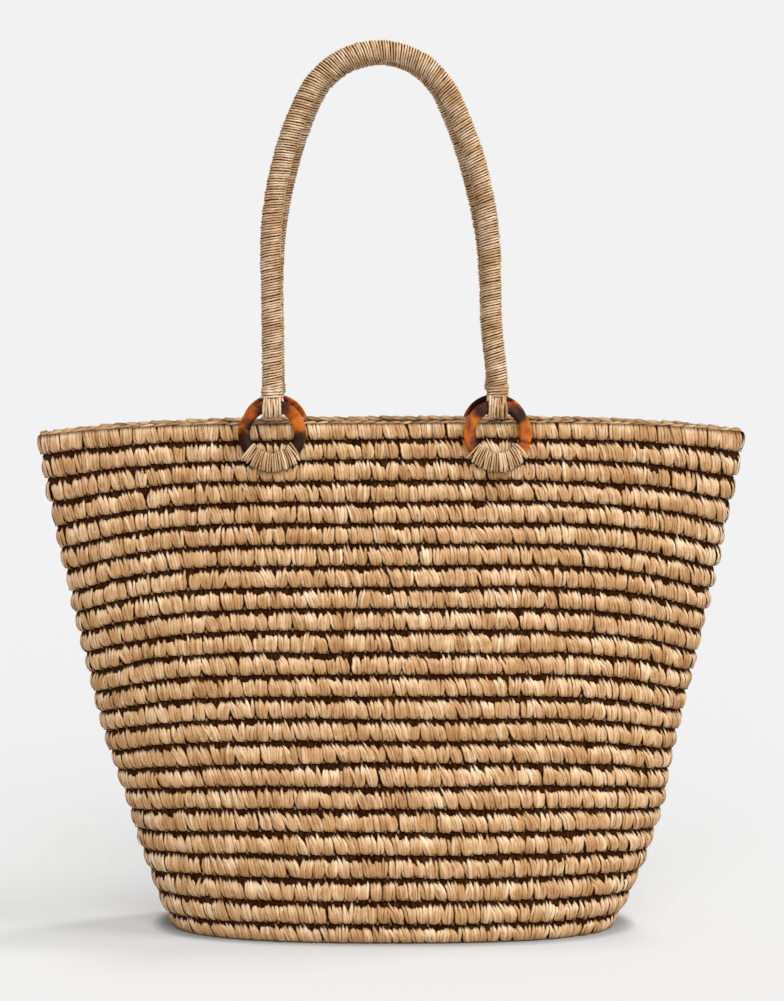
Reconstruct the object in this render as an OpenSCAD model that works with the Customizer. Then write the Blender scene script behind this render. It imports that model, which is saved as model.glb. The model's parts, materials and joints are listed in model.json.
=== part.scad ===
// Crocheted raffia beach bag: an oval base, a flaring side wall with a braided
// edging, and two wrapped rope handles that swing on four sewn-on rings.
// Front is -Y, left is -X. The origin is on the floor under the middle of the bag.

/* [Body] */
// Height of the side wall at the middle of the front
wall_h = 377; // [250:1:450]
// Thickness of the crocheted fabric
fabric_th = 9; // [7:0.5:10]
// Half width of the bag at the floor, before its rounded edge
base_half_w = 176; // [140:1:220]
// Half width of the bag at the rim
rim_half_w = 263.5; // [240:0.5:300]
// Extra half width halfway up, where the sides belly out
belly_w = 4.25; // [0:0.25:8]
// Half depth of the bag at the floor, before its rounded edge
base_half_d = 80; // [60:1:100]
// Half depth of the bag at the rim
rim_half_d = 28; // [24:1:60]
// Extra half depth halfway up, where the front and back belly out
belly_d = 5; // [0:0.25:8]
// How far the corners of the rim hang below its middle
corner_drop = 9; // [0:0.5:15]
// How far the edge of the base is rounded in
base_round = 12; // [4:0.5:16]
// Height over which the rounded edge of the base fades out
base_round_h = 35; // [20:1:45]

/* [Edging] */
// Height of the braid that finishes the rim
edging_h = 5; // [4:0.5:6]
// Width of the braid that finishes the rim
edging_w = 8; // [6:0.5:9]

/* [Rings] */
// Outer diameter of a ring
ring_d = 50; // [49:0.5:50.5]
// Diameter of the hole in a ring
ring_hole_d = 32.4; // [32:0.2:34]
// Thickness of a ring
ring_th = 4.2; // [3.6:0.1:4.4]
// Half the distance between the middles of the two rings of a side
ring_x = 82.5; // [70:0.5:95]
// How far the top of a ring stands above the wall
ring_above_wall = 19; // [16:0.5:21]
// How far the rings, sewn on by hand, sit to the left of the middle
ring_shift = 4; // [0:0.5:6]
// Angle of the lower part of a ring that is sewn down
sewn_angle = 114; // [80:1:130]

/* [Handles] */
// Diameter of a wrapped handle
handle_d = 14.6; // [12.6:0.5:15.6]
// Diameter of the rope inside a handle
core_d = 11; // [8:0.2:11.4]
// Diameter of the tight binding at each end of a handle
collar_d = 16.4; // [16:0.1:17]
// Length of the tight binding
collar_len = 10; // [6:1:20]
// Height of a handle's foot above its hinge
leg_start = 6.6; // [6.5:0.1:6.7]
// Height of a handle's arch above its hinge
handle_h = 261; // [220:0.5:320]
// Radius of the top of the arch
arch_top_r = 60; // [54:1:68]
// Angle through which each side of the arch bends before the top begins
side_angle = 27; // [25:0.5:32]
// How far the top of the arch leans to the left
arch_lean = 3.5; // [0:0.5:8]
// How far the right leg of a handle bends in above its ring
leg_in = 4; // [0:0.5:5]
// How far the sides of the back handle's arch lie inside the front one's
back_in = 5; // [0:0.5:6]
// How far the top of the back handle's arch lies below the front one's
back_low = 3; // [0:0.5:4]
// Gap between the two handles where their tops lean together
handle_gap = 0.6; // [0.4:0.1:4]
// Width of the raffia loop that holds a handle to its ring
loop_w = 15; // [10:0.5:16]

/* [Hidden] */

RAFFIA = "#b08962";
RAFFIA_DARK = "#94704b";
TORTOISESHELL = "#8a4312";

// Shells are lofted from this many points round and this many levels up
ROUND = 48;
LEVELS = 14;
// The base oval is squarish; the rim is a lens whose corners are nearly sharp
BASE_POWER = 2.5;
RIM_POWER_X = 2;
RIM_POWER_Y = 1.3;

// The base's edge is rounded in less at the front and back than at the sides
ROUND_DEPTH_SHARE = 0.7;
// How sharply the rim falls away towards its corners
CORNER_POWER = 4;

BASE_TH = 8;
BASE_GAP = 0.3;
RING_BEVEL = 0.8;
STITCH_TH = 1.6;
FIT_GAP = 0.05;
WRAP_GAP = 0.1;
HINGE_IN_BAND = 2.6;
// Heights above the hinge at which a handle's bends begin and end
LEG_IN_TOP = 66;
BACK_IN_START = 70;
BACK_IN_TOP = 190;
LEG_STEPS = 4;
SIDE_STEPS = 5;
TOP_STEPS = 14;
BAR_SIDES = 16;
LOOP_IN_R = 6.8;
LOOP_OUT_R = 7.9;

ring_r = ring_d / 2;
ring_hole_r = ring_hole_d / 2;
handle_r = handle_d / 2;
core_r = core_d / 2;

// ---- Shape of the body: t is 0 at the floor and 1 at the rim ----

function half_w(t) =
    base_half_w + (rim_half_w - base_half_w) * t + 4 * belly_w * t * (1 - t)
    - base_round * exp(-t * wall_h / base_round_h);
function half_d(t) =
    base_half_d + (rim_half_d - base_half_d) * t + 4 * belly_d * t * (1 - t)
    - base_round * ROUND_DEPTH_SHARE * exp(-t * wall_h / base_round_h);
function power_x(t) = BASE_POWER + (RIM_POWER_X - BASE_POWER) * t;
function power_y(t) = BASE_POWER + (RIM_POWER_Y - BASE_POWER) * pow(t, 1.5);
function signed_power(value, power) = sign(value) * pow(abs(value), power);

// Point on the inside of the fabric, at angle a round the bag
function inner_xy(t, a) = [
    (half_w(t) - fabric_th) * signed_power(cos(a), 2 / power_x(t)),
    (half_d(t) - fabric_th) * signed_power(sin(a), 2 / power_y(t))
];
function outward(t, a) =
    let (n = [half_d(t) * cos(a), half_w(t) * sin(a)]) n / norm(n);
function wall_xy(t, a, depth) = inner_xy(t, a) + outward(t, a) * depth;
function level_z(t, a) = t * (wall_h - corner_drop * pow(abs(cos(a)), CORNER_POWER));
function wall_point(t, a, depth) =
    let (xy = wall_xy(t, a, depth)) [xy[0], xy[1], level_z(t, a)];

// Angle round the bag whose outside point on the front has the given x
function front_angle(t, x, low = 180, high = 360, steps = 20) =
    let (mid = (low + high) / 2)
    steps == 0 ? mid :
    wall_xy(t, mid, fabric_th)[0] < x
        ? front_angle(t, x, mid, high, steps - 1)
        : front_angle(t, x, low, mid, steps - 1);

// ---- Where the rings lie on the wall ----

ring_t = (wall_h + ring_above_wall - ring_r) / wall_h;
ring_a = front_angle(ring_t, ring_x);
ring_low_t = ring_t - 2 * ring_r / wall_h;
wall_here = wall_xy(ring_t, ring_a, fabric_th);
wall_below = wall_xy(ring_low_t, front_angle(ring_low_t, ring_x), fabric_th);
ring_lean = atan((wall_here[1] - wall_below[1]) / (2 * ring_r));
ring_beside = wall_xy(ring_t, front_angle(ring_t, ring_x + ring_r), fabric_th);
ring_yaw = atan((ring_beside[1] - wall_here[1]) / ring_r);
ring_y = wall_here[1] - ring_th / 2 - STITCH_TH;
ring_z = ring_t * wall_h;

// The hinge runs through the top band of both rings of a side
hinge_up = ring_hole_r + HINGE_IN_BAND;
hinge_y = ring_y + hinge_up * sin(ring_lean);
hinge_z = ring_z + hinge_up * cos(ring_lean);

// ---- Shape of a handle: on each side a leg and an arc, and one arc over the top ----

collar_top = leg_start + collar_len;
top_center_z = handle_h - arch_top_r;
side_r = (ring_x - arch_top_r * cos(side_angle)) / (1 - cos(side_angle));
side_center_x = ring_x - side_r;
leg_len = top_center_z - (side_r - arch_top_r) * sin(side_angle);

// Stations along a handle: [x, z, angle of the outward side]
right_side = [
    [ring_x, leg_start, 0],
    for (step = [0:LEG_STEPS - 1])
        [ring_x, collar_top + (leg_len - collar_top) * step / LEG_STEPS, 0],
    for (step = [0:SIDE_STEPS])
        let (a = side_angle * step / SIDE_STEPS)
        [side_center_x + side_r * cos(a), leg_len + side_r * sin(a), a]
];
over_top = [
    for (step = [1:TOP_STEPS - 1])
        let (a = side_angle + (180 - 2 * side_angle) * step / TOP_STEPS)
        [arch_top_r * cos(a), top_center_z + arch_top_r * sin(a), a]
];
left_side = [
    for (s = reversed(right_side)) [-s[0], s[1], 180 - s[2]]
];
function eased(z, start, end) =
    let (u = min(max((z - start) / (end - start), 0), 1)) u * u * (3 - 2 * u);
// How far the point of a handle at x and z is moved to the bag's left
function bend(back, x, z) =
    arch_lean * eased(z, collar_top, handle_h)
    + leg_in * eased(z, collar_top, LEG_IN_TOP) * max(x, 0) / ring_x
    + (back ? back_in * eased(z, BACK_IN_START, BACK_IN_TOP) * x / ring_x : 0);
// The back handle is turned about, so its own right is the bag's left
function handle_stations(back) = [
    for (s = concat(right_side, over_top, left_side))
        let (turned = back ? -1 : 1, x = turned * s[0], z = s[1])
        [
            turned * (x - bend(back, x, z)),
            z - (back ? back_low * pow(z / handle_h, 2) : 0),
            s[2]
        ]
];

// Both handles lean in over the mouth until they nearly touch
handle_lean = asin((-hinge_y - handle_r - handle_gap / 2) / handle_h);

// ---- Helpers ----

// Solid through rings of points, each with the same count. The last ring joins
// the first, as in a pipe wall, or both ends are closed flat.
module lofted(rings, flat_ends = false) {
    count = len(rings[0]);
    last = len(rings) - 1;
    points = [for (ring = rings) each ring];
    sides = [
        for (r = [0:last - 1]) for (i = [0:count - 1])
            let (j = (i + 1) % count)
            each [
                [r * count + i, (r + 1) * count + j, r * count + j],
                [r * count + i, (r + 1) * count + i, (r + 1) * count + j]
            ]
    ];
    joined = [
        for (i = [0:count - 1])
            let (j = (i + 1) % count)
            each [[last * count + i, j, last * count + j], [last * count + i, i, j]]
    ];
    ends = [
        [for (i = [0:count - 1]) i],
        [for (i = [count - 1:-1:0]) last * count + i]
    ];
    polyhedron(points, concat(sides, flat_ends ? ends : joined), convexity = 6);
}

// Rings of points round the handle's path, in the handle's own upright plane
function rings_along(stations, bar_r) = [
    for (s = stations) [
        for (k = [0:BAR_SIDES - 1])
            let (a = -k * 360 / BAR_SIDES, out = bar_r * cos(a))
            [s[0] + out * cos(s[2]), bar_r * sin(a), s[1] + out * sin(s[2])]
    ]
];

function reversed(list) = [for (i = [len(list) - 1:-1:0]) list[i]];

module on_side(back) {
    translate([-ring_shift, 0, 0])
    rotate([0, 0, back ? 180 : 0])
    children();
}

module at_ring(back, left) {
    side = (left ? -1 : 1) * (back ? -1 : 1);
    on_side(back)
    translate([side * ring_x, ring_y, ring_z])
    rotate([-ring_lean, 0, side * ring_yaw])
    rotate([90, 0, 0])
    children();
}

module at_hinge(back) {
    on_side(back)
    translate([0, hinge_y, hinge_z])
    rotate([-handle_lean, 0, 0])
    children();
}

// ---- The body ----

module base_panel() {
    color(RAFFIA_DARK)
    linear_extrude(BASE_TH)
    polygon([
        for (i = [0:ROUND - 1])
            wall_xy(0, i * 360 / ROUND, -BASE_GAP)
    ]);
}

module side_wall() {
    outside = [
        for (k = [0:LEVELS])
            [for (i = [0:ROUND - 1]) wall_point(k / LEVELS, i * 360 / ROUND, fabric_th)]
    ];
    inside = [
        for (k = [LEVELS:-1:0])
            [for (i = [0:ROUND - 1]) wall_point(k / LEVELS, i * 360 / ROUND, 0)]
    ];
    color(RAFFIA)
    lofted(concat(outside, inside));
}

module rim_edging() {
    sides = 12;
    rings = [
        for (s = [0:sides - 1])
            let (
                turn = s * 360 / sides,
                depth = fabric_th / 2 + edging_w / 2 * cos(turn),
                up = edging_h / 2 + edging_h / 2 * sin(turn)
            )
            [
                for (i = [0:ROUND - 1])
                    wall_point(1, i * 360 / ROUND, depth) + [0, 0, up]
            ]
    ];
    color(RAFFIA)
    lofted(rings);
}

// ---- Rings and what holds them ----

module ring_section(grow) {
    band = (ring_d - ring_hole_d) / 2 + 2 * grow;
    depth = ring_th + 2 * grow;
    bevel = RING_BEVEL;
    translate([ring_hole_r - grow, -depth / 2])
    polygon([
        [bevel, 0], [band - bevel, 0], [band, bevel], [band, depth - bevel],
        [band - bevel, depth], [bevel, depth], [0, depth - bevel], [0, bevel]
    ]);
}

module ring() {
    color(TORTOISESHELL)
    rotate_extrude($fn = 96)
    ring_section(0);
}

module ring_stitches() {
    color(RAFFIA)
    rotate([0, 0, -90 - sewn_angle / 2])
    rotate_extrude(angle = sewn_angle, $fn = 96)
    difference() {
        ring_section(STITCH_TH);
        ring_section(FIT_GAP);
    }
}

// ---- Handles ----

module handle_core(back) {
    color(RAFFIA_DARK)
    at_hinge(back)
    lofted(rings_along(handle_stations(back), core_r), flat_ends = true);
}

module handle_wrap(back) {
    color(RAFFIA)
    at_hinge(back)
    lofted(concat(
        rings_along(handle_stations(back), handle_r),
        reversed(rings_along(handle_stations(back), core_r + WRAP_GAP))
    ));
}

module handle_collar(back, left) {
    side = (left ? -1 : 1) * (back ? -1 : 1);
    color(RAFFIA)
    at_hinge(back)
    translate([side * ring_x, 0, leg_start])
    difference() {
        cylinder(r = collar_d / 2, h = collar_len, $fn = 48);
        translate([0, 0, -1]) cylinder(r = handle_r + FIT_GAP, h = collar_len + 2, $fn = 48);
    }
}

module handle_loop(back, left) {
    side = (left ? -1 : 1) * (back ? -1 : 1);
    color(RAFFIA)
    at_hinge(back)
    translate([side * ring_x, 0, 0])
    difference() {
        rotate([0, 90, 0])
        cylinder(r = LOOP_OUT_R, h = loop_w, center = true, $fn = 48);
        rotate([0, 90, 0])
        cylinder(r = LOOP_IN_R, h = loop_w + 2, center = true, $fn = 48);
        // Its two ends are bound into the foot of the handle
        translate([-loop_w, -loop_w, leg_start - FIT_GAP])
        cube(2 * loop_w);
    }
}

base_panel();
side_wall();
rim_edging();
at_ring(false, true) ring();  // front_left_ring
at_ring(false, false) ring();  // front_right_ring
at_ring(true, true) ring();  // back_left_ring
at_ring(true, false) ring();  // back_right_ring
at_ring(false, true) ring_stitches();  // front_left_ring_stitches
at_ring(false, false) ring_stitches();  // front_right_ring_stitches
at_ring(true, true) ring_stitches();  // back_left_ring_stitches
at_ring(true, false) ring_stitches();  // back_right_ring_stitches
handle_core(false);  // front_handle_core
handle_wrap(false);  // front_handle_wrap
handle_collar(false, true);  // front_handle_left_collar
handle_collar(false, false);  // front_handle_right_collar
handle_loop(false, true);  // front_handle_left_loop
handle_loop(false, false);  // front_handle_right_loop
handle_core(true);  // back_handle_core
handle_wrap(true);  // back_handle_wrap
handle_collar(true, true);  // back_handle_left_collar
handle_collar(true, false);  // back_handle_right_collar
handle_loop(true, true);  // back_handle_left_loop
handle_loop(true, false);  // back_handle_right_loop
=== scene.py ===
"""Crocheted raffia beach bag with wrapped handles on tortoiseshell rings.

Front is -Y and left is -X. Everything is in metres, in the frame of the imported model.
Each woven part is made of separate strands: flat ribbons of raffia that follow a path.
"""

import json
import math

import bpy
import numpy as np
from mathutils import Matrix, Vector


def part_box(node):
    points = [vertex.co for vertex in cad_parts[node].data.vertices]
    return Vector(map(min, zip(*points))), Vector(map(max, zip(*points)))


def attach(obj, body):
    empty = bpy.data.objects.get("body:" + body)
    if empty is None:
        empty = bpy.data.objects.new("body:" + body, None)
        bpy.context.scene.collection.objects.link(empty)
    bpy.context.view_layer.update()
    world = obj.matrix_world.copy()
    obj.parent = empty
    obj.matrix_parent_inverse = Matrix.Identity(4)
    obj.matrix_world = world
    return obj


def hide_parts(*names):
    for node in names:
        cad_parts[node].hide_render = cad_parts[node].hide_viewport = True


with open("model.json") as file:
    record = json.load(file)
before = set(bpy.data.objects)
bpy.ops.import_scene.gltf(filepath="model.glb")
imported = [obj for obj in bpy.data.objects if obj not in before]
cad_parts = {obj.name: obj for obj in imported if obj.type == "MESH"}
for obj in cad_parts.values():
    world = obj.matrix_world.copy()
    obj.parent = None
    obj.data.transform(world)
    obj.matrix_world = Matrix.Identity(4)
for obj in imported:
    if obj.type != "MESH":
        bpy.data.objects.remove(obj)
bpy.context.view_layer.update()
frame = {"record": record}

rng = np.random.default_rng(11)
MM = 0.001
TAU = 2 * math.pi

# ---- The body's shape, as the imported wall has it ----

WALL_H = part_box("side_wall")[1].z
RIM_HALF_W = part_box("side_wall")[1].x
FABRIC_TH = 9 * MM
BASE_HALF_W = 176 * MM
BASE_HALF_D = 80 * MM
RIM_HALF_D = 28 * MM
BELLY_W = 4.25 * MM
BELLY_D = 5 * MM
BASE_ROUND = 12 * MM
BASE_ROUND_D = 8.4 * MM
BASE_ROUND_H = 35 * MM
CORNER_DROP = 9 * MM
BASE_POWER = 2.5
RIM_POWER_X = 2.0
RIM_POWER_Y = 1.3

# ---- The crochet ----

ROWS = 24
TOP_ROW_H = 11 * MM
BOTTOM_ROW_H = 14.2 * MM
PITCH_GROWTH = 0.1 * MM
STITCH_W = 9.2 * MM
STRANDS = 4
TEETH = 4
SLANT = -0.13
SLANT_RIGHT = -0.09
ROW_SAG = 107 * MM
ROW_TILT = 1.3 * MM
SLUMP = 4 * MM
ROW_WAVE = 0.4 * MM
BULGE = 4.2 * MM
CORE_HALF_D = 3.1 * MM
# The lowest that the middle of a strand, and the lowest that the core, may be
STRAND_FLOOR = 0.9 * MM
CORE_FLOOR = 1.2 * MM

# ---- Rings and handles ----

RING_R = 25 * MM
RING_HOLE_R = 16.2 * MM
RING_TH = 4.2 * MM
# How many amber patches a ring has round it, and the angle of one of them
AMBER_LOBES = {"left": 3, "right": 2}
AMBER_AT = {"left": math.radians(145), "right": math.radians(170)}
RING_LEAN = math.radians(9.876)
RING_YAW = math.radians(2.645)
SEWN_ANGLE = math.radians(114)
LASHINGS = 12
RING_X = 82.5 * MM
RING_SHIFT = 4 * MM
HANDLE_LEAN = math.radians(4.485)
HANDLE_H = 261 * MM
HANDLE_R = 7.3 * MM
LINING_R = 6.2 * MM
COLLAR_R = 8.0 * MM
COLLAR_LEN = 10 * MM
ARCH_R = 60 * MM
SIDE_ANGLE = math.radians(27)
LEG_START = 6.6 * MM
LOOP_R = 7.35 * MM
LOOP_W = 15 * MM
LOOP_STRANDS = 7

# How an arch leans left, its right leg bends in, and the back arch is narrower and lower
ARCH_LEAN = 3.5 * MM
COLLAR_TOP = LEG_START + COLLAR_LEN
LEG_IN = 4 * MM
LEG_IN_TOP = 66 * MM
BACK_IN = 5 * MM
BACK_IN_START = 70 * MM
BACK_IN_TOP = 190 * MM
BACK_LOW = 3 * MM

RIGHT = np.array([1.0, 0, 0])


def signed_power(value, power):
    return np.sign(value) * np.abs(value) ** power


def full_turn(count):
    """count angles, evenly spaced round a circle, as one row."""
    return (np.arange(count) / count * TAU)[None]


def unit(v):
    return v / np.linalg.norm(v, axis=-1, keepdims=True)


def smooth(x, low, high):
    x = np.clip((x - low) / (high - low), 0, 1)
    return x * x * (3 - 2 * x)


def half_w(t):
    rounded = BASE_ROUND * np.exp(-t * WALL_H / BASE_ROUND_H)
    return BASE_HALF_W + (RIM_HALF_W - BASE_HALF_W) * t + 4 * BELLY_W * t * (1 - t) - rounded


def half_d(t):
    rounded = BASE_ROUND_D * np.exp(-t * WALL_H / BASE_ROUND_H)
    return BASE_HALF_D + (RIM_HALF_D - BASE_HALF_D) * t + 4 * BELLY_D * t * (1 - t) - rounded


def section(w, d, power_x, power_y, a, depth):
    """Point at angle a on an oval of half sizes w and d, depth outside it."""
    cos, sin = np.cos(a), np.sin(a)
    x = w * signed_power(cos, 2 / power_x)
    y = d * signed_power(sin, 2 / power_y)
    nx, ny = (d + FABRIC_TH) * cos, (w + FABRIC_TH) * sin
    n = np.hypot(nx, ny)
    return x + depth * nx / n, y + depth * ny / n


def sway(level):
    """How far the soft lower part of the bag has slumped to the right."""
    return SLUMP * (0.55 + 0.45 * smooth(level, 0, 0.2)) * (1 - smooth(level, 0.24, 0.44))


def wall_middle(level, a):
    """Middle of the fabric at a level from 0 to 1, which sags towards the corners."""
    corner = np.abs(np.cos(a)) ** 4
    sag = CORNER_DROP * level + ROW_SAG * level**2 * (1 - level)
    tilt = ROW_TILT * np.cos(a) * level
    z = np.maximum(level * WALL_H - sag * corner + tilt, 0)
    t = z / (WALL_H - CORNER_DROP * corner)
    power_x = BASE_POWER + (RIM_POWER_X - BASE_POWER) * t
    power_y = BASE_POWER + (RIM_POWER_Y - BASE_POWER) * t**1.5
    x, y = section(
        half_w(t) - FABRIC_TH, half_d(t) - FABRIC_TH, power_x, power_y, a, FABRIC_TH / 2
    )
    return np.stack([x + sway(level), y, z], -1)


def base_middle(level, a):
    """Middle of the base fabric: level 0 is its edge and 1 its middle line."""
    inset = level * (half_d(0.0) - FABRIC_TH)
    w = half_w(0.0) - FABRIC_TH - inset
    d = half_d(0.0) - FABRIC_TH - inset
    x, y = section(w, d, BASE_POWER, BASE_POWER, a, 0)
    return np.stack([x + sway(0.0), y, np.full_like(x, FABRIC_TH / 2)], -1)


def frames(middle, level, a):
    """Points with the unit vectors along the row, up the fabric and out of it."""
    step = 1e-3
    at = middle(level, a)
    along = unit(middle(level, a + step) - middle(level, a - step))
    up = middle(level + step, a) - middle(level - step, a)
    out = unit(np.cross(along, up))
    return at, along, unit(np.cross(out, along)), out


# ---- Meshes of strands ----

# A strand's section, across and out of it: four points over its face, one behind it, and
# which of them are at its edges, where more painted shade goes
SECTION_ACROSS = np.array([-1.0, -0.45, 0.4, 1.0, 0.0])
SECTION_OUT = np.array([0.0, 0.85, 0.9, 0.0, -0.55])
SECTION_EDGE = np.array([1.0, 0.0, 0.0, 1.0, 1.0])


class Strands:
    """Collects strands that share a mesh."""

    def __init__(self):
        self.points, self.uvs, self.tones, self.painted_shades = [], [], [], []
        self.quads, self.caps, self.big_caps = [], [], []
        self.count = 0

    def add(self, path, hint, half, thick, tone, painted_shade=0.0, edge=0.0, closed=True, crumple=0.25):
        """Sweeps the section along each path, a (strands, stations, 3) array.

        hint points across a strand; its outer face is on the side of hint x forward. The strand is
        marked with painted shade, and its edges with more painted shade than its face. The rest
        broadcast to (strands, stations).
        """
        shape = n, k = path.shape[:2]
        if closed:
            forward = unit(np.roll(path, -1, 1) - np.roll(path, 1, 1))
        else:
            forward = unit(np.gradient(path, axis=1))
        across = unit(hint - forward * np.sum(hint * forward, -1, keepdims=True))
        out = np.cross(across, forward)
        half, thick = np.broadcast_to(half, shape), np.broadcast_to(thick, shape)
        side = len(SECTION_OUT)
        rise = SECTION_OUT * (1 + crumple * rng.normal(size=(n, k, side)))
        reach = SECTION_ACROSS + 0.4 * crumple * rng.normal(size=(n, k, side))
        points = (
            path[:, :, None]
            + across[:, :, None] * (half[..., None] * reach)[..., None]
            + out[:, :, None] * (thick[..., None] * rise)[..., None]
        )
        index = self.count + np.arange(n * k * side).reshape(n, k, side)
        ahead = np.roll(index, -1, 1)
        length = np.linalg.norm(np.roll(path, -1, 1) - path, axis=-1)
        start = np.cumsum(length, 1) - length + rng.random((n, 1)) * 5
        turn = np.arange(side) / side
        spans = k if closed else k - 1
        quads = np.stack([index, np.roll(index, -1, 2), np.roll(ahead, -1, 2), ahead], -1)
        quads = quads[:, :spans]
        u0, u1 = start[:, :spans, None], (start + length)[:, :spans, None]
        v0, v1 = turn[None, None], turn[None, None] + 1 / side
        corners = ((u0, v0), (u0, v1), (u1, v1), (u1, v0))
        uv = np.stack([np.stack(np.broadcast_arrays(u, v), -1) for u, v in corners], -2)
        self.points.append(points.reshape(-1, 3))
        self.quads.append(quads.reshape(-1, 4))
        self.uvs.append(uv.reshape(-1, 2))
        self.tones.append(np.broadcast_to(tone, shape).repeat(side, -1).ravel())
        # Painted shade at each point: the strand's own, and more at its edges
        painted_shades = np.broadcast_to(painted_shade, shape)[..., None] + edge * SECTION_EDGE
        self.painted_shades.append(np.minimum(painted_shades, 1).ravel())
        if not closed:
            self.caps += [index[:, 0, ::-1], index[:, -1]]
        self.count += n * k * side

    def build(self, name, material, body, stands_for):
        quads = np.concatenate(self.quads)
        caps = np.concatenate(self.caps) if self.caps else np.zeros((0, 5), int)
        mesh = bpy.data.meshes.new(name)
        points = np.concatenate(self.points)
        mesh.vertices.add(len(points))
        mesh.vertices.foreach_set("co", points.astype(np.float32).ravel())
        loops = np.concatenate([quads.ravel(), caps.ravel(), *self.big_caps])
        mesh.loops.add(len(loops))
        mesh.loops.foreach_set("vertex_index", loops.astype(np.int32))
        ends = [caps.shape[1]] * len(caps) + [len(cap) for cap in self.big_caps]
        sizes = np.array([4] * len(quads) + ends)
        mesh.polygons.add(len(sizes))
        mesh.polygons.foreach_set("loop_start", (np.cumsum(sizes) - sizes).astype(np.int32))
        mesh.polygons.foreach_set("use_smooth", np.ones(len(sizes), bool))
        uv = np.zeros((len(loops), 2), np.float32)
        quad_uv = np.concatenate(self.uvs)
        uv[: len(quad_uv)] = quad_uv
        mesh.uv_layers.new(name="strand").uv.foreach_set("vector", uv.ravel())
        for label, values in (("tone", self.tones), ("painted_shade", self.painted_shades)):
            data = np.concatenate(values).astype(np.float32)
            mesh.attributes.new(label, "FLOAT", "POINT").data.foreach_set("value", data)
        mesh.update(calc_edges=True)
        mesh.validate()
        return show(name, mesh, material, body, stands_for)


def show(name, mesh, material, body, stands_for):
    piece = bpy.data.objects.new(name, mesh)
    bpy.context.scene.collection.objects.link(piece)
    mesh.materials.append(material)
    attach(piece, body)
    if stands_for:
        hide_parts(*stands_for)
    return piece


# ---- Materials ----


def node_tree(name):
    material = bpy.data.materials.new(name)
    material.use_nodes = True
    tree = material.node_tree
    return material, tree, tree.nodes["Principled BSDF"]


def add(tree, kind, links=(), **values):
    """A node with its properties and its sockets' values set, and its inputs linked."""
    node = tree.nodes.new(kind)
    for key, value in values.items():
        if key in node.inputs:
            node.inputs[key].default_value = value
        elif hasattr(node, key):
            setattr(node, key, value)
        else:
            node.inputs[key.replace("_", " ")].default_value = value
    for socket, source in links:
        tree.links.new(source, node.inputs[socket])
    return node


def ramp(tree, source, stops):
    node = add(tree, "ShaderNodeValToRGB", [(0, source)])
    elements = node.color_ramp.elements
    while len(elements) < len(stops):
        elements.new(0.5)
    for element, (place, color) in zip(elements, stops):
        element.position = place
        element.color = (*color, 1)
    return node.outputs["Color"]


def sum_of(tree, first, second):
    return add(tree, "ShaderNodeMath", [(0, first), (1, second)], operation="ADD").outputs[0]


def raffia(name, dark, mid, light, painted_shade_color):
    """Crumpled paper raffia: long fibres, strands of different shades, and painted shade mixed in
    where a strand lies deep.
    """
    material, tree, shader = node_tree(name)
    uv = add(tree, "ShaderNodeUVMap", uv_map="strand").outputs["UV"]
    tone = add(tree, "ShaderNodeAttribute", attribute_name="tone").outputs["Fac"]
    painted_shade = add(tree, "ShaderNodeAttribute", attribute_name="painted_shade").outputs["Fac"]
    # Fibres run along the strand, so the pattern is long that way and fine across it
    stretched = add(tree, "ShaderNodeMapping", [("Vector", uv)], Scale=(60, 9, 1)).outputs[0]
    fibres = add(
        tree, "ShaderNodeTexNoise", [("Vector", stretched)], Scale=2.2, Detail=5, Roughness=0.65
    ).outputs["Fac"]
    place = add(tree, "ShaderNodeTexCoord").outputs["Object"]
    patches = add(
        tree, "ShaderNodeTexNoise", [("Vector", place)], Scale=70, Detail=3
    ).outputs["Fac"]
    shade = sum_of(tree, sum_of(tree, fibres, patches), tone)
    shade = add(tree, "ShaderNodeMath", [(0, shade)], operation="DIVIDE")
    shade.inputs[1].default_value = 3
    color = ramp(tree, shade.outputs[0], [(0.3, dark), (0.48, mid), (0.66, light)])
    # Fibres that stand up lighten the painted shade a little: a painted highlight within it
    streaks = add(
        tree, "ShaderNodeMapRange", [("Value", fibres)],
        From_Min=0.45, From_Max=0.7, To_Min=1.0, To_Max=0.9,
    )
    painted_shade_amount = add(tree, "ShaderNodeMath", [(0, painted_shade), (1, streaks.outputs[0])], operation="MULTIPLY")
    # Sockets 6 and 7 are the two colours of a colour mix: the straw and its painted shade
    mixed = add(tree, "ShaderNodeMix", data_type="RGBA")
    tree.links.new(painted_shade_amount.outputs[0], mixed.inputs["Factor"])
    tree.links.new(color, mixed.inputs[6])
    mixed.inputs[7].default_value = (*painted_shade_color, 1)
    tree.links.new(mixed.outputs[2], shader.inputs["Base Color"])
    rough = add(tree, "ShaderNodeMapRange", [("Value", fibres)], To_Min=0.48, To_Max=0.78)
    tree.links.new(rough.outputs[0], shader.inputs["Roughness"])
    bump = add(tree, "ShaderNodeBump", [("Height", fibres)], Strength=0.7, Distance=0.0005)
    tree.links.new(bump.outputs[0], shader.inputs["Normal"])
    # Nothing glints where the painted shade is full
    glint = add(tree, "ShaderNodeMapRange", [("Value", painted_shade)], To_Min=0.14, To_Max=0.0)
    tree.links.new(glint.outputs[0], shader.inputs["Specular IOR Level"])
    return material


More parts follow.
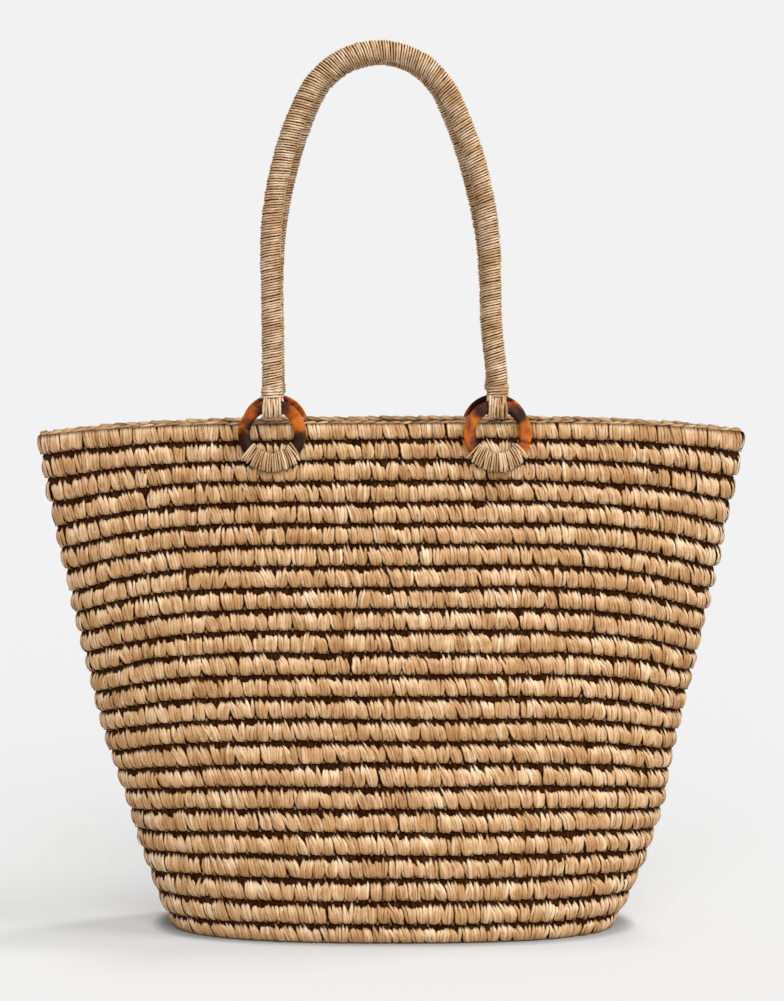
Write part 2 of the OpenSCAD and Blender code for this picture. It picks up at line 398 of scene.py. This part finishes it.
def tortoiseshell():
    """Polished resin: amber with dark brown clouds, which a ring's tone places round it; the tone
    also holds painted highlight and shade across a ring's edge.
    """
    material, tree, shader = node_tree("tortoiseshell")
    place = add(tree, "ShaderNodeTexCoord").outputs["Object"]
    polish = add(tree, "ShaderNodeTexNoise", [("Vector", place)], Scale=45, Detail=2)
    clouds = add(
        tree, "ShaderNodeTexNoise", [("Vector", place)], Scale=62, Detail=3, Distortion=0.8
    ).outputs["Fac"]
    lobes_and_highlight = add(tree, "ShaderNodeAttribute", attribute_name="tone").outputs["Fac"]
    color = ramp(
        tree, sum_of(tree, clouds, lobes_and_highlight),
        [(0.40, (0.018, 0.005, 0.001)), (0.48, (0.08, 0.016, 0.003)),
         (0.58, (0.27, 0.055, 0.005)), (0.72, (0.46, 0.118, 0.008))],
    )
    tree.links.new(color, shader.inputs["Base Color"])
    rough = add(
        tree, "ShaderNodeMapRange", [("Value", polish.outputs["Fac"])], To_Min=0.12, To_Max=0.3
    )
    tree.links.new(rough.outputs[0], shader.inputs["Roughness"])
    shader.inputs["Specular IOR Level"].default_value = 0.07
    return material


def floor_material():
    """A pale floor whose glow makes up what the lights leave, so it meets the backdrop."""
    material, tree, shader = node_tree("studio_floor")
    shader.inputs["Base Color"].default_value = (FLOOR_ALBEDO,) * 3 + (1,)
    shader.inputs["Roughness"].default_value = 0.9
    shader.inputs["Specular IOR Level"].default_value = 0.0
    shader.inputs["Emission Color"].default_value = (1, 1, 1, 1)
    suns = sum(strength * math.cos(math.radians(tilt)) for strength, _, tilt, _ in SUNS.values())
    lit = FLOOR_ALBEDO * (DOME + suns / math.pi)
    # Painted contact shadow: the floor's glow fades close to where the bag stands on it
    near = add(tree, "ShaderNodeAmbientOcclusion", Distance=CONTACT_REACH).outputs["AO"]
    glow = add(
        tree, "ShaderNodeMapRange", [("Value", near)], From_Min=0.55, From_Max=0.95,
        To_Min=0.0, To_Max=BACKGROUND - lit,
    )
    tree.links.new(glow.outputs[0], shader.inputs["Emission Strength"])
    return material


# ---- Crochet rows ----


def row_levels():
    """Levels of the lines between rows, from the floor to the rim."""
    inner = WALL_H - TOP_ROW_H - BOTTOM_ROW_H
    count = ROWS - 2
    first = inner / count + PITCH_GROWTH * (count - 1) / 2
    heights = [BOTTOM_ROW_H] + [first - PITCH_GROWTH * i for i in range(count)] + [TOP_ROW_H]
    return np.concatenate([[0], np.cumsum(heights)]) / WALL_H


def even_angles(middle, level, count, phase):
    """Angles of points evenly spaced along a row, from one round to the next, and its length."""
    a = np.linspace(0, TAU, 4001)
    at = middle(np.full_like(a, level), a)
    run = np.concatenate([[0], np.cumsum(np.linalg.norm(np.diff(at, axis=0), axis=1))])
    places = (np.arange(count + 1) + phase) / count * run[-1]
    wraps = np.floor(places / run[-1])
    return np.interp(places - wraps * run[-1], run, a) + wraps * TAU, run[-1]


def waves(a, size, seed):
    """Slow waves round the bag, the same from any row that shares the seed."""
    own = np.random.default_rng(seed)
    total = np.zeros_like(a)
    for turns in (3, 5, 8, 13):
        total += own.normal() * np.cos(turns * a + own.random() * TAU)
    return size * total / 2


def varied(mean, by_stitch, by_strand, count):
    """A value that differs from stitch to stitch and from strand to strand."""
    own = by_stitch * rng.normal(size=(count, 1))
    return mean + own + by_strand * rng.normal(size=(count, STRANDS))


def stitch_values(edges):
    """What each strand of a row's stitches has of its own, each as one column."""
    count = len(edges) - 1
    center, width = (edges[1:] + edges[:-1]) / 2, np.diff(edges)
    center = center + width * 0.04 * rng.normal(size=count)
    # The strand's place across its stitch, from -0.5 to 0.5, and where its tip goes
    place = np.tile((np.arange(STRANDS) + 0.5) / STRANDS - 0.5, (count, 1))
    place = place + 0.02 * rng.normal(size=place.shape)
    split = 0.5 * (rng.random((count, 1)) - 0.5) / STRANDS
    tooth = np.round((place + split) * TEETH) / TEETH
    tip = place + (tooth - place) * (0.55 + 0.25 * rng.random(place.shape))
    reach = 0.4 + 0.065 * rng.normal(size=place.shape) + 0.02 * rng.normal(size=(count, 1))
    lift = (varied(0, 0.25, 0.22, count) + 0.45 * (0.6 - (2 * place) ** 2)) * MM
    slant = varied(SLANT + SLANT_RIGHT * np.cos(center)[:, None], 0.07, 0.05, count)
    tone = varied(0.42, 0.025, 0.08, count)
    settle = 0.015 * rng.normal(size=(count, 1)) + 0.06 * (2 * place) ** 2
    return (
        np.broadcast_to(v.reshape(count, -1), place.shape).reshape(-1, 1)
        for v in (center, width, settle, place, tip, reach, lift, slant, tone)
    )


def stitch_row(strands, middle, low, high, wave_low, wave_high, phase, plain=False, span=WALL_H):
    """One crocheted row: bundles of strands that go round the row's core.

    low and high are the levels of the row's edges. A plain row has smooth tops; the strands
    of any other part into teeth, which dive in under the row above. span is the height of
    the whole fabric.
    """
    length = even_angles(middle, (low + high) / 2, 8, 0)[1]
    count = max(int(round(length / STITCH_W)), 6)
    edges = even_angles(middle, (low + high) / 2, count, phase)[0]
    center, width, settle, place, tip, reach, lift, slant, tone = stitch_values(edges)

    # Round the core: 0 is the bottom lip, a half turn is the top, then down the inside
    turn = full_turn(14)
    cos, sin = np.cos(turn), np.sin(turn)
    lower = cos > 0
    height = 0.46 - np.where(lower, 0.45 - settle, 0.6 if plain else reach) * cos
    height = np.maximum(height, 0)
    squareness = np.where(lower, 0.62, 0.7 if plain else 0.95)
    tilt = 1 + (0.05 if plain else 0.16) * cos
    depth = (BULGE + lift) * np.sign(sin) * np.abs(sin) ** squareness * tilt

    upper = smooth(height, 0.35, 0.75) * (0.2 if plain else 1)
    full = smooth(height, 0.06, 0.32)
    spread = 0.74 + 0.19 * full + (0.0 if plain else 0.07) * smooth(height, 0.5, 0.95)
    a = center + width * spread * (place + (tip - place) * upper)
    low_edge, high_edge = low + wave_low(a), high + wave_high(a)
    level = low_edge + (high_edge - low_edge) * height
    lean = slant * (height - 0.5) * (1 + 1.4 * upper) * (high - low) * span
    at, along, _, out = frames(middle, level, a)
    path = at + along * lean[..., None] + out * depth[..., None]
    path[..., 2] = np.maximum(path[..., 2], STRAND_FLOOR)

    half = STITCH_W / STRANDS * (0.7 - (0.0 if plain else 0.48) * smooth(height, 0.62, 0.98))
    half = half * (1 + 0.1 * rng.normal(size=(len(center), 1)))
    half = half * (0.8 + 0.2 * smooth(height, 0.06, 0.3))
    thick = (0.32 + 0.4 * upper) * MM
    # Painted shade: strands darken as they sink towards the fabric's middle, a plain row darkens at
    # its top under the chain, and edges darken more
    shaded = np.abs(depth) < 3.2 * MM
    painted_shade = (1 - smooth(np.abs(depth), 0.9 * MM, 3.2 * MM)) * shaded
    if plain:
        painted_shade = np.maximum(painted_shade, 0.75 * smooth(height, 0.8, 0.97))
    # Painted highlight: each stitch lightens towards its top, a plain row less
    tone = tone + (0.12 if plain else 0.3) * smooth(height, 0.3, 0.95)
    strands.add(path, along, half, thick, tone, painted_shade, edge=0.4 if plain else 0.16)
    knots(strands, middle, low, high, wave_low, wave_high, edges)


def knots(strands, middle, low, high, wave_low, wave_high, edges):
    """The bit of yarn that shows between two stitches, at their feet."""
    turn = full_turn(6)
    a = edges[:-1, None] + 0 * turn
    level_low, level_high = low + wave_low(a), high + wave_high(a)
    height = 0.07 + 0.02 * rng.normal(size=(len(a), 1)) - 0.07 * np.cos(turn)
    height = np.maximum(height, 0)
    at, along, _, out = frames(middle, level_low + (level_high - level_low) * height, a)
    depth = (1.9 + 0.3 * rng.normal(size=(len(a), 1)) + 1.8 * np.sin(turn)) * MM
    path = at + out * depth[..., None]
    path[..., 2] = np.maximum(path[..., 2], STRAND_FLOOR)
    tone = 0.3 + 0.1 * rng.normal(size=(len(a), 1))
    # The knots are darkened with painted shade
    strands.add(path, along, 0.9 * MM, 0.5 * MM, tone, 0.6)


def row_core(strands, middle, low, high, wave_low, wave_high):
    """The cord inside a row, which closes the fabric behind the strands, painted all in shade."""
    a = np.linspace(0, TAU, 193)[:-1]
    level_low, level_high = low + wave_low(a), high + wave_high(a)
    at, _, _, out = frames(middle, (level_low + level_high) / 2, a)
    up = middle(level_high, a) - middle(level_low, a)
    half = np.linalg.norm(up, axis=-1) * 0.55
    turn = full_turn(10)
    ring = (
        at[:, None]
        + unit(up)[:, None] * (half[:, None] * np.cos(turn))[..., None]
        + out[:, None] * (CORE_HALF_D * np.sin(turn))[..., None]
    )
    ring[..., 2] = np.maximum(ring[..., 2], CORE_FLOOR)
    add_tube(strands, ring, 0.3, 1.0, uv_step=(0.03, 0.15))


def add_tube(strands, rings, tone, painted_shade, closed=True, flip=False, uv_step=(0.004, 1.0)):
    """A tube through rings of points, of shape (stations, points, 3).

    uv_step is how far the fibres' pattern runs from ring to ring and round the tube.
    """
    k, side = rings.shape[:2]
    index = strands.count + np.arange(k * side).reshape(k, side)
    ahead = np.roll(index, -1, 0)
    quads = np.stack([index, ahead, np.roll(ahead, -1, 1), np.roll(index, -1, 1)], -1)
    if not closed:
        quads = quads[:-1]
    du, dv = uv_step[0], uv_step[1] / side
    u, v = np.broadcast_arrays(np.arange(len(quads))[:, None] * du, np.arange(side)[None] * dv)
    corners = ((u, v), (u + du, v), (u + du, v + dv), (u, v + dv))
    uv = np.stack([np.stack(corner, -1) for corner in corners], -2)
    if flip:
        quads, uv = quads[..., ::-1], uv[..., ::-1, :]
    if not closed:
        strands.big_caps += [index[0, ::-1], index[-1]]
    strands.points.append(rings.reshape(-1, 3))
    strands.quads.append(quads.reshape(-1, 4))
    strands.uvs.append(uv.reshape(-1, 2))
    strands.tones.append(np.broadcast_to(tone, (k, side)).ravel())
    strands.painted_shades.append(np.broadcast_to(painted_shade, (k, side)).ravel())
    strands.count += k * side


def make_wall(material):
    """The rows, each its own piece. The first of them stands for the whole wall."""
    levels = row_levels()
    edge_waves = [
        (lambda a, k=k: waves(a, (ROW_WAVE if 0 < k < ROWS else 0) / WALL_H, 100 + k))
        for k in range(ROWS + 1)
    ]
    for k in range(ROWS):
        strands = Strands()
        low, high = levels[k], levels[k + 1]
        wave_low, wave_high = edge_waves[k], edge_waves[k + 1]
        top = k == ROWS - 1
        stitch_row(strands, wall_middle, low, high, wave_low, wave_high, rng.random(), plain=top)
        row_core(strands, wall_middle, low, high, wave_low, wave_high)
        stands_for = ["side_wall"] if k == 0 else []
        strands.build(f"wall_row_{k + 1:02d}", material, "bag", stands_for)


def make_base(material):
    """Rounds of crochet, from the base's edge to just short of its middle line."""
    strands = Strands()
    flat = lambda a: 0 * a
    rounds, last_level = 4, 0.97
    size = half_d(0.0) - FABRIC_TH
    for k in range(rounds):
        low, high = k / rounds * last_level, (k + 1) / rounds * last_level
        inner = k == rounds - 1
        stitch_row(strands, base_middle, low, high, flat, flat, 0.4 * k, plain=inner, span=size)
        row_core(strands, base_middle, low, high, flat, flat)
    strands.build("base_rounds", material, "bag", ["base_panel"])


# ---- Rim chain ----


def make_chain(material):
    """Chain stitches that lie along the rim: each link's head is on the next one's tail."""
    strands = Strands()
    layers, fine = 3, 4000
    link_pitch, half_length, half_width, inset = 9 * MM, 7.6 * MM, 2.5 * MM, 2.2 * MM
    angles, length = even_angles(wall_middle, 1.0, fine, 0)
    count = int(length / link_pitch)
    starts = (np.arange(count) + 0.08 * rng.normal(size=count)) / count
    layer = np.tile(np.arange(layers), count)
    size = (1 - 0.22 * layer)[:, None]
    starts = np.repeat(starts, layers)[:, None]
    turn = full_turn(12)
    run = half_length * np.cos(turn) * (0.4 + 0.6 * size)
    run = run + 0.4 * MM * rng.normal(size=run.shape)
    side = half_width * size * np.sin(turn) * (1.05 + 0.45 * np.cos(turn))
    side = side + 0.2 * MM * rng.normal(size=side.shape)
    a = np.interp((starts + run / length) % 1, np.arange(fine + 1) / fine, angles)
    at, _, up, out = frames(wall_middle, 1.0, a)
    lift = (1.1 + 0.9 * np.cos(turn) + 0.3 * rng.normal(size=(len(a), 1))) * MM
    path = at + out * (side - inset)[..., None] + up * lift[..., None]
    tone = 0.5 + 0.16 * rng.normal(size=(len(a), 1))
    # Painted shade darkens each link's tail, which lies in the head of the link before, and its
    # edges a little; the head is left light
    painted_shade = 0.7 * smooth(-np.cos(turn), -0.3, 0.6)
    strands.add(path, up, 0.95 * MM, 0.6 * MM, tone, painted_shade, edge=0.15)
    strands.build("rim_chain", material, "bag", ["rim_edging"])


# ---- Rings ----


def ring_frame(side, hand):
    """A ring's centre, and the unit vectors to its right, up it and out of the bag."""
    lo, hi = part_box(f"{side}_{hand}_ring")
    center = (np.array(lo) + np.array(hi)) / 2
    facing = -1 if side == "front" else 1
    turn = -facing * np.sign(center[0]) * RING_YAW + (0 if facing < 0 else math.pi)
    cos, sin = math.cos(turn), math.sin(turn)
    spin = np.array([[cos, -sin, 0], [sin, cos, 0], [0, 0, 1]])
    right = spin @ np.array([1, 0, 0])
    up = spin @ np.array([0, math.sin(RING_LEAN), math.cos(RING_LEAN)])
    return center, right, up, np.cross(right, up)


def make_ring(side, hand, material):
    strands = Strands()
    center, right, up, out = ring_frame(side, hand)
    turn = full_turn(120).T[..., None]
    corner = full_turn(28)[..., None]
    middle, half = (RING_R + RING_HOLE_R) / 2, (RING_R - RING_HOLE_R) / 2
    radius = middle + half * signed_power(np.cos(corner), 0.45)
    rise = RING_TH / 2 * signed_power(np.sin(corner), 0.55)
    radial = np.cos(turn) * right + np.sin(turn) * up
    # Amber patches round the ring, and painted highlight and shade: lighter at its outer edge,
    # darker towards its hole
    lobes_and_highlight = 0.13 * np.cos(AMBER_LOBES[hand] * (turn - AMBER_AT[hand])) + 0.06 * np.cos(corner)
    add_tube(strands, center + radial * radius + out * rise, lobes_and_highlight[..., 0], 0.0, flip=True)
    name = f"{side}_{hand}_ring"
    strands.build(name + "_resin", material, "bag", [name])


def make_lashing(side, hand, material):
    """Raffia bound over the lower part of a ring and through the row behind it."""
    strands = Strands()
    center, right, up, out = ring_frame(side, hand)
    count = 2 * LASHINGS
    place = (np.arange(count) + 0.5) / count - 0.5 + 0.12 / count * rng.normal(size=count)
    # The two strands of a lashing lean together over the ring
    pull = np.where(np.arange(count) % 2 == 0, 1, -1) * 0.05 / LASHINGS
    turn = full_turn(16)
    cos, sin = np.cos(turn), np.sin(turn)
    outer = smooth(cos, -1, 1)
    loose = 0.35 * rng.normal(size=(count, 1)) * np.maximum(cos, 0)
    radius = 21.4 + 6.5 * signed_power(cos, 0.7) + loose
    rise = 3.1 * signed_power(sin, 0.55) + 0.25 * rng.normal(size=(count, 1)) - 1.0 * outer
    fan = 1.08 - 0.16 * outer + 0.03 * rng.normal(size=(count, 1)) * cos
    theta = -math.pi / 2 + SEWN_ANGLE * (place[:, None] + pull[:, None] * cos) * fan
    theta = theta[..., None]
    radial = np.cos(theta) * right + np.sin(theta) * up
    path = center + radial * (radius * MM)[..., None] + out * (rise * MM)[..., None]
    hint = np.cos(theta) * up - np.sin(theta) * right
    half = 0.95 * MM * (0.8 + 0.2 * outer) * (1 + 0.1 * rng.normal(size=(count, 1)))
    tone = 0.55 + 0.14 * rng.normal(size=(count, 1))
    # Painted shade: the strands darken where they go behind the ring, and at their edges
    painted_shade = 0.95 * smooth(-rise, -0.9, 0.9)
    strands.add(path, hint, half, 0.75 * MM, tone, painted_shade, edge=0.5)
    name = f"{side}_{hand}_ring"
    strands.build(name + "_lashing", material, "bag", [name + "_stitches"])


# ---- Handles ----


def arc(center_x, center_z, radius, start, end):
    turn = np.linspace(start, end, 120)
    return np.stack([center_x + radius * np.cos(turn), center_z + radius * np.sin(turn)], -1)


def handle_line(side):
    """The handle's centre line from its left foot to its right one, and its length so far.

    x is to the right as seen from the front and z is up from the hinge.
    """
    top_z = HANDLE_H - ARCH_R
    slope = math.pi - SIDE_ANGLE
    reach = ARCH_R * math.sin(SIDE_ANGLE)
    side_r = (RING_X - ARCH_R * math.cos(SIDE_ANGLE)) / (1 - math.cos(SIDE_ANGLE))
    leg_end = top_z + reach - side_r * math.sin(SIDE_ANGLE)
    leg = np.stack([np.full(60, -RING_X), np.linspace(LEG_START, leg_end, 60)], -1)
    bend = arc(side_r - RING_X, leg_end, side_r, math.pi, slope)
    top = arc(0, top_z, ARCH_R, slope, SIDE_ANGLE)
    other = np.concatenate([leg, bend])[::-1] * [-1, 1]
    line = np.concatenate([leg[:-1], bend[:-1], top, other[1:-60], other[-59:]])
    x, z = line.T
    shift = ARCH_LEAN * smooth(z, COLLAR_TOP, HANDLE_H)
    shift = shift + LEG_IN * smooth(z, COLLAR_TOP, LEG_IN_TOP) * np.maximum(x, 0) / RING_X
    if side == "back":
        shift = shift + BACK_IN * smooth(z, BACK_IN_START, BACK_IN_TOP) * x / RING_X
        z = z - BACK_LOW * (z / HANDLE_H) ** 2
    line = np.stack([x - RING_SHIFT - shift, z], -1)
    run = np.concatenate([[0], np.cumsum(np.linalg.norm(np.diff(line, axis=0), axis=1))])
    return line, run


def handle_axes(side):
    """A handle's point on its hinge in the middle, its way up and its way to the front."""
    joints = frame["record"]["behaviour"]["joints"]
    hinge = next(joint["pos_m"] for joint in joints if joint["child"] == f"{side}_handle")
    facing = -1 if side == "front" else 1
    up = np.array([0, -facing * math.sin(HANDLE_LEAN), math.cos(HANDLE_LEAN)])
    return np.array(hinge), up, np.cross(RIGHT, up)


def along_handle(side, s):
    """A handle's middle at lengths s, with the ways along it, beside it and to the front."""
    line, run = handle_line(side)
    hinge, up, near = handle_axes(side)

    def at(s):
        return np.stack([np.interp(s, run, line[:, 0]), np.interp(s, run, line[:, 1])], -1)

    x, z = np.split(at(s), 2, -1)
    dx, dz = np.split(unit(at(s + 0.5 * MM) - at(s - 0.5 * MM)), 2, -1)
    return hinge + x * RIGHT + z * up, dx * RIGHT + dz * up, dz * RIGHT - dx * up, near


def drifting(count, window):
    """Random values that change slowly, each the average of a window."""
    return np.convolve(rng.normal(size=count + window - 1), np.ones(window) / window, "valid")


def wind(strands, side, start, end, radius, strand_w, starts, tone, wobble):
    """Winds strands side by side round a stretch of a handle, in helices.

    starts is how many strands go round together, and wobble how far they stray along the
    handle, in strand widths.
    """
    stations_per_turn = 18
    lead = strand_w * starts
    turns = (end - start) / lead
    stations = int(turns * stations_per_turn)
    place = np.linspace(0, 1, stations)
    for k in range(starts):
        drift = (k / starts - 0.5) * lead + wobble * strand_w * drifting(stations, 9)
        s = start + (end - start) * place + drift
        s = np.clip(s, start - strand_w / 2, end + strand_w / 2)
        middle, forward, beside, near = along_handle(side, s)
        phi = (-TAU * turns * place)[:, None]
        bumps = drifting(stations, 5)
        # The first and last turns dive under the rest
        from_end = np.minimum(place, 1 - place) * turns
        tucked = 1.2 * MM * (1 - smooth(from_end, 0.05, 0.35))
        reach = (radius - 0.5 * MM + 0.26 * MM * bumps - tucked)[:, None]
        path = middle + reach * (np.cos(phi) * beside + np.sin(phi) * near)
        half = strand_w * (0.47 + 0.09 * np.clip(bumps, -1, 1))
        tones = tone + 0.18 * drifting(stations, 9)
        # Painted shade darkens the strands' edges, in the grooves between turns
        strands.add(
            path[None], -forward[None], half[None], 0.95 * MM, tones[None], edge=0.85, closed=False
        )


def add_lining(strands, side, start, end, radius):
    """A tube under the windings, painted all in shade."""
    middle, _, beside, near = along_handle(side, np.linspace(start, end, 260))
    turn = full_turn(12)[..., None]
    ring = middle[:, None] + radius * (np.cos(turn) * beside[:, None] + np.sin(turn) * near)
    add_tube(strands, ring, 0.3, 0.9, closed=False)


def make_handle(side, material):
    body = f"{side}_handle"
    length = handle_line(side)[1][-1]
    strands = Strands()
    add_lining(strands, side, 0.3 * MM, length - 0.3 * MM, LINING_R)
    wind(
        strands, side, 2 * MM, length - 2 * MM, HANDLE_R,
        strand_w=1.95 * MM, starts=4, tone=0.56, wobble=0.2,
    )
    replaced = [f"{body}_core", f"{body}_wrap"]
    strands.build(f"{body}_winding", material, body, replaced)
    # A collar's winding keeps its strand inside the collar's ends
    near_end, far_end = 1.1 * MM, COLLAR_LEN - 1 * MM
    for hand, start, end in (
        ("left", near_end, far_end), ("right", length - far_end, length - near_end)
    ):
        strands = Strands()
        wind(
            strands, side, start, end, COLLAR_R,
            strand_w=2.1 * MM, starts=1, tone=0.6, wobble=0.06,
        )
        name = f"{body}_{hand}_collar"
        strands.build(name + "_winding", material, body, [name])
        make_loop(side, hand, material)


def make_loop(side, hand, material):
    """Strands from inside the foot of a handle, round under its ring's top and back up."""
    strands = Strands()
    count = LOOP_STRANDS
    hinge, up, near = handle_axes(side)
    foot = -1 if hand == "left" else 1
    across = (np.arange(count) + 0.5) / count - 0.5
    straight = np.linspace(LEG_START + 2.5 * MM, 1 * MM, 6)
    under = np.linspace(0, -math.pi, 11)
    rise = np.concatenate([straight, LOOP_R * np.sin(under), straight[::-1]])
    leg = np.full_like(straight, LOOP_R)
    depth = np.concatenate([leg, LOOP_R * np.cos(under), -leg])
    depth = depth * (1 - 0.35 * smooth(rise, LEG_START - 3 * MM, LEG_START + 3 * MM))
    width = LOOP_W * (0.98 - 0.18 * smooth(rise, -2 * MM, LEG_START + 2 * MM))
    stray = 0.25 * MM * rng.normal(size=(count, 1)) * np.cos(np.linspace(0, 9, len(rise)))
    x = foot * RING_X - RING_SHIFT + across[:, None] * width + stray
    swell = 1 + 0.02 * rng.normal(size=(count, 1))
    rise, depth = rise * swell, depth * swell
    path = hinge + x[..., None] * RIGHT + rise[..., None] * up + depth[..., None] * near
    tone = 0.6 + 0.14 * rng.normal(size=(count, 1))
    half = 0.44 * LOOP_W / count * (1 + 0.12 * rng.normal(size=path.shape[:2]))
    strands.add(path, -RIGHT, half, 0.55 * MM, tone, closed=False)
    # A band under the strands closes the gaps between them; it is painted in shade
    outward = unit(depth[:1, :, None] * near + rise[:1, :, None] * up)
    band = path[count // 2][None] - 0.4 * MM * outward
    strands.add(band, -RIGHT, width / 2 * 0.9, 0.25 * MM, 0.3, 0.9, closed=False, crumple=0.05)
    name = f"{side}_handle_{hand}_loop"
    strands.build(name + "_strands", material, f"{side}_handle", [name])


# ---- The studio ----

BACKGROUND = 0.887
DOME = 0.5
FLOOR_ALBEDO = 0.35
FLOOR_HALF = 60
CONTACT_REACH = 18 * MM
# Strength, softness, tilt from straight down and turn from the front towards the right
SUNS = {"top": (1.3, 8, 16, 129), "side": (1.7, 20, 45, 75), "front": (2.3, 50, 56, 10)}
CAMERA_X = 1.2 * MM
CAMERA_DISTANCE = 2.5
CAMERA_HEIGHT = 0.58
CAMERA_TILT = 5.97
LENS = 121.8


def make_camera():
    data = bpy.data.cameras.new("camera")
    camera = bpy.data.objects.new("camera", data)
    bpy.context.scene.collection.objects.link(camera)
    camera.location = (CAMERA_X, -CAMERA_DISTANCE, CAMERA_HEIGHT)
    camera.rotation_euler = (math.radians(90 - CAMERA_TILT), 0, 0)
    data.lens = LENS
    data.clip_start, data.clip_end = 0.05, 200
    bpy.context.scene.camera = camera


def make_studio():
    scene = bpy.context.scene
    scene.view_settings.view_transform = "Standard"
    world = bpy.data.worlds.new("studio")
    scene.world = world
    world.use_nodes = True
    tree = world.node_tree
    backdrop = tree.nodes["Background"]
    backdrop.inputs["Color"].default_value = (BACKGROUND, BACKGROUND, BACKGROUND, 1)
    dome = add(tree, "ShaderNodeBackground", Color=(1, 1, 1, 1), Strength=DOME)
    seen = add(tree, "ShaderNodeLightPath").outputs["Is Camera Ray"]
    mixed = add(
        tree, "ShaderNodeMixShader", [(0, seen), (1, dome.outputs[0]), (2, backdrop.outputs[0])]
    )
    tree.links.new(mixed.outputs[0], tree.nodes["World Output"].inputs["Surface"])
    for name, (strength, softness, tilt, turn) in SUNS.items():
        light = bpy.data.lights.new(name, "SUN")
        light.energy = strength
        light.angle = math.radians(softness)
        sun = bpy.data.objects.new(name, light)
        scene.collection.objects.link(sun)
        sun.rotation_euler = (math.radians(tilt), 0, math.radians(turn))
    mesh = bpy.data.meshes.new("floor")
    corners = [(x * FLOOR_HALF, y * FLOOR_HALF, 0) for x, y in ((-1, -1), (1, -1), (1, 1), (-1, 1))]
    mesh.from_pydata(corners, [], [range(4)])
    floor = bpy.data.objects.new("floor", mesh)
    scene.collection.objects.link(floor)
    mesh.materials.append(floor_material())


make_camera()
make_studio()

STRAW = raffia(
    "straw_crochet", dark=(0.24, 0.095, 0.03), mid=(0.49, 0.275, 0.122), light=(0.88, 0.67, 0.455),
    painted_shade_color=(0.02, 0.005, 0.001),
)
# A darker copy of the crochet's straw: painted shade, for the chain along the rim
SHADED_CHAIN = raffia(
    "straw_chain_painted_shade", dark=(0.17, 0.08, 0.03), mid=(0.37, 0.215, 0.10), light=(0.68, 0.48, 0.29),
    painted_shade_color=(0.028, 0.008, 0.002),
)
WINDING = raffia(
    "straw_winding", dark=(0.22, 0.095, 0.03), mid=(0.48, 0.28, 0.13), light=(0.88, 0.69, 0.50),
    painted_shade_color=(0.04, 0.014, 0.004),
)
LASHING = raffia(
    "straw_lashing", dark=(0.23, 0.11, 0.04), mid=(0.48, 0.29, 0.14), light=(0.82, 0.62, 0.41),
    painted_shade_color=(0.04, 0.014, 0.004),
)
RESIN = tortoiseshell()
make_wall(STRAW)
make_base(STRAW)
make_chain(SHADED_CHAIN)
for side in ("front", "back"):
    for hand in ("left", "right"):
        make_ring(side, hand, RESIN)
        make_lashing(side, hand, LASHING)
    make_handle(side, WINDING)
